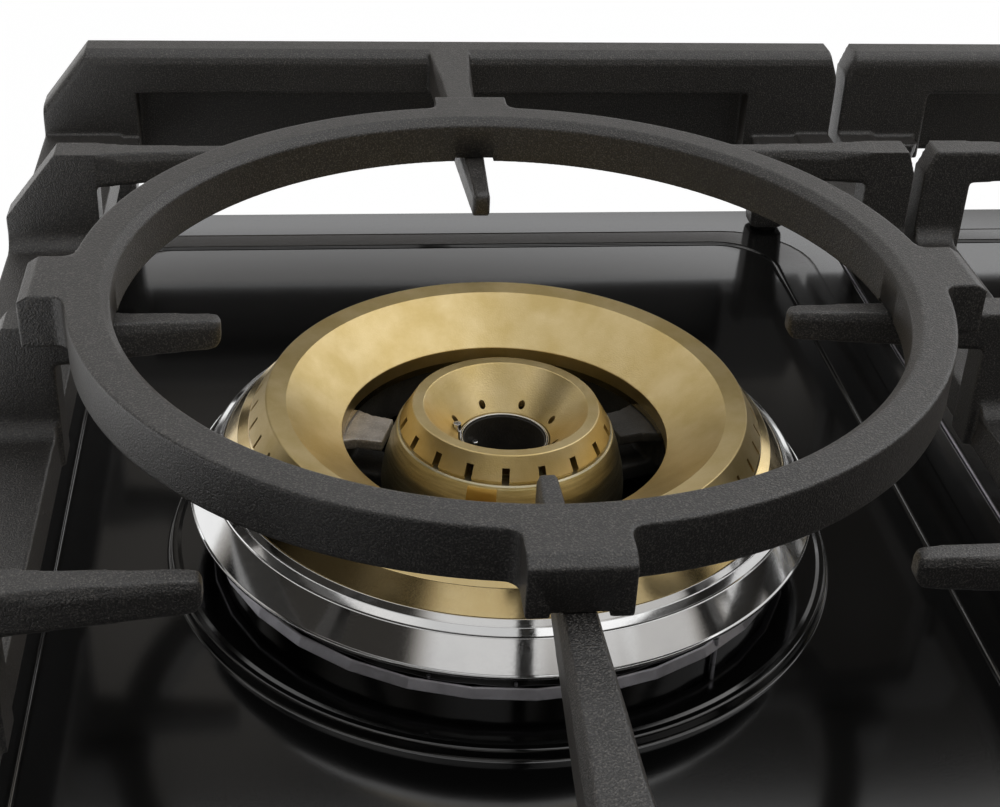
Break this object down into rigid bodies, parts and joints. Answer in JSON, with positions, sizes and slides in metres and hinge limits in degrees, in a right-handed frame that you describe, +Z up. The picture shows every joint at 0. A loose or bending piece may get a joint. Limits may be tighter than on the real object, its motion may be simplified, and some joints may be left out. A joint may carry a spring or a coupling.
{
  "type": "gas cooktop",
  "caption": "Built-in gas cooktop with a dual-ring wok burner, smaller brass burners, cast iron grates, a wok ring and push-turn knobs.",
  "frame": {"origin": "middle of the under-box's floor, below the middle of the cooktop", "axes": "+X along the front edge to the right, +Y to the back, +Z up"},
  "size_m": [0.9, 0.52, 0.1452],
  "materials": {
    "black_enamel": "gloss enamel",
    "cast_iron": "matt, fine grain",
    "satin_brass": "fine satin",
    "polished_brass": "polished",
    "brushed_brass": "brushed",
    "mirror_steel": "mirror polish",
    "dark_casting": "dark cast",
    "sheet_steel": "galvanised",
    "bright_steel": "bright",
    "aluminium_tube": "drawn",
    "rubber": "matt",
    "moulded_plastic": "fine texture",
    "knob_black": "satin black"
  },
  "bodies": {
    "base": {"base_box": "sheet_steel", "left_tray": "black_enamel", "centre_tray": "black_enamel", "right_tray": "black_enamel", "control_panel": "black_enamel", "joint_strips": "sheet_steel", "edge_seal": "rubber", "wok_base": "black_enamel", "wok_heat_plate": "sheet_steel", "burner_bases": "black_enamel", "burner_skirts": "mirror_steel", "igniters": "bright_steel", "thermocouples": "bright_steel", "injectors": "brushed_brass", "gas_manifold": "aluminium_tube", "gas_valves": "brushed_brass", "gas_pipes": "aluminium_tube", "gas_inlet": "brushed_brass", "ignition_module": "moulded_plastic", "terminal_block": "moulded_plastic", "clamp_brackets": "sheet_steel", "clamp_screws": "bright_steel", "knob_bezels": "satin_brass"},
    "left_grate": {"left_grate": "cast_iron", "left_grate_feet": "rubber"},
    "centre_grate": {"centre_grate": "cast_iron", "centre_grate_feet": "rubber"},
    "right_grate": {"right_grate": "cast_iron", "right_grate_feet": "rubber"},
    "wok_ring": {"wok_ring": "cast_iron"},
    "wok_burner": {"wok_head": "dark_casting", "wok_skirt": "mirror_steel", "wok_flame_ring": "polished_brass", "wok_inner_body": "brushed_brass", "wok_bore_ring": "mirror_steel"},
    "wok_outer_cap": {"wok_outer_cap": "satin_brass"},
    "wok_inner_cap": {"wok_inner_cap": "satin_brass"},
    "centre_rear_head": {"centre_rear_head": "satin_brass"},
    "centre_rear_cap": {"centre_rear_cap": "satin_brass"},
    "centre_front_head": {"centre_front_head": "satin_brass"},
    "centre_front_cap": {"centre_front_cap": "satin_brass"},
    "right_rear_head": {"right_rear_head": "satin_brass"},
    "right_rear_cap": {"right_rear_cap": "satin_brass"},
    "right_front_head": {"right_front_head": "satin_brass"},
    "right_front_cap": {"right_front_cap": "satin_brass"},
    "wok_push": {"wok_push_collar": "bright_steel"},
    "wok_turn": {"wok_knob": "knob_black", "wok_spindle": "bright_steel"},
    "centre_rear_push": {"centre_rear_push_collar": "bright_steel"},
    "centre_rear_turn": {"centre_rear_knob": "knob_black", "centre_rear_spindle": "bright_steel"},
    "centre_front_push": {"centre_front_push_collar": "bright_steel"},
    "centre_front_turn": {"centre_front_knob": "knob_black", "centre_front_spindle": "bright_steel"},
    "right_rear_push": {"right_rear_push_collar": "bright_steel"},
    "right_rear_turn": {"right_rear_knob": "knob_black", "right_rear_spindle": "bright_steel"},
    "right_front_push": {"right_front_push_collar": "bright_steel"},
    "right_front_turn": {"right_front_knob": "knob_black", "right_front_spindle": "bright_steel"}
  },
  "joints": [
    {"name": "left_grate_lift", "type": "slide", "parent": "base", "child": "left_grate", "axis": [0, 0, 1], "range_m": [0, 0.03]},
    {"name": "centre_grate_lift", "type": "slide", "parent": "base", "child": "centre_grate", "axis": [0, 0, 1], "range_m": [0, 0.03]},
    {"name": "right_grate_lift", "type": "slide", "parent": "base", "child": "right_grate", "axis": [0, 0, 1], "range_m": [0, 0.03]},
    {"name": "wok_ring_lift", "type": "slide", "parent": "left_grate", "child": "wok_ring", "axis": [0, 0, 1], "range_m": [0, 0.03]},
    {"name": "wok_burner_lift", "type": "slide", "parent": "base", "child": "wok_burner", "axis": [0, 0, 1], "range_m": [0, 0.015]},
    {"name": "wok_outer_cap_lift", "type": "slide", "parent": "wok_burner", "child": "wok_outer_cap", "axis": [0, 0, 1], "range_m": [0, 0.02]},
    {"name": "wok_inner_cap_lift", "type": "slide", "parent": "wok_burner", "child": "wok_inner_cap", "axis": [0, 0, 1], "range_m": [0, 0.02]},
    {"name": "centre_rear_head_lift", "type": "slide", "parent": "base", "child": "centre_rear_head", "axis": [0, 0, 1], "range_m": [0, 0.01]},
    {"name": "centre_rear_cap_lift", "type": "slide", "parent": "centre_rear_head", "child": "centre_rear_cap", "axis": [0, 0, 1], "range_m": [0, 0.01]},
    {"name": "centre_front_head_lift", "type": "slide", "parent": "base", "child": "centre_front_head", "axis": [0, 0, 1], "range_m": [0, 0.01]},
    {"name": "centre_front_cap_lift", "type": "slide", "parent": "centre_front_head", "child": "centre_front_cap", "axis": [0, 0, 1], "range_m": [0, 0.01]},
    {"name": "right_rear_head_lift", "type": "slide", "parent": "base", "child": "right_rear_head", "axis": [0, 0, 1], "range_m": [0, 0.01]},
    {"name": "right_rear_cap_lift", "type": "slide", "parent": "right_rear_head", "child": "right_rear_cap", "axis": [0, 0, 1], "range_m": [0, 0.01]},
    {"name": "right_front_head_lift", "type": "slide", "parent": "base", "child": "right_front_head", "axis": [0, 0, 1], "range_m": [0, 0.01]},
    {"name": "right_front_cap_lift", "type": "slide", "parent": "right_front_head", "child": "right_front_cap", "axis": [0, 0, 1], "range_m": [0, 0.01]},
    {"name": "wok_knob_push", "type": "slide", "parent": "base", "child": "wok_push", "axis": [0, 0, -1], "range_m": [0, 0.004], "stiffness_N_per_m": 1500, "springref_m": -0.003},
    {"name": "wok_knob_turn", "type": "hinge", "parent": "wok_push", "child": "wok_turn", "pos_m": [-0.2, -0.2125, 0.062], "axis": [0, 0, 1], "range_deg": [0, 270]},
    {"name": "centre_rear_knob_push", "type": "slide", "parent": "base", "child": "centre_rear_push", "axis": [0, 0, -1], "range_m": [0, 0.004], "stiffness_N_per_m": 1500, "springref_m": -0.003},
    {"name": "centre_rear_knob_turn", "type": "hinge", "parent": "centre_rear_push", "child": "centre_rear_turn", "pos_m": [-0.1, -0.2125, 0.062], "axis": [0, 0, 1], "range_deg": [0, 210]},
    {"name": "centre_front_knob_push", "type": "slide", "parent": "base", "child": "centre_front_push", "axis": [0, 0, -1], "range_m": [0, 0.004], "stiffness_N_per_m": 1500, "springref_m": -0.003},
    {"name": "centre_front_knob_turn", "type": "hinge", "parent": "centre_front_push", "child": "centre_front_turn", "pos_m": [0, -0.2125, 0.062], "axis": [0, 0, 1], "range_deg": [0, 210]},
    {"name": "right_rear_knob_push", "type": "slide", "parent": "base", "child": "right_rear_push", "axis": [0, 0, -1], "range_m": [0, 0.004], "stiffness_N_per_m": 1500, "springref_m": -0.003},
    {"name": "right_rear_knob_turn", "type": "hinge", "parent": "right_rear_push", "child": "right_rear_turn", "pos_m": [0.1, -0.2125, 0.062], "axis": [0, 0, 1], "range_deg": [0, 210]},
    {"name": "right_front_knob_push", "type": "slide", "parent": "base", "child": "right_front_push", "axis": [0, 0, -1], "range_m": [0, 0.004], "stiffness_N_per_m": 1500, "springref_m": -0.003},
    {"name": "right_front_knob_turn", "type": "hinge", "parent": "right_front_push", "child": "right_front_turn", "pos_m": [0.2, -0.2125, 0.062], "axis": [0, 0, 1], "range_deg": [0, 210]}
  ]
}
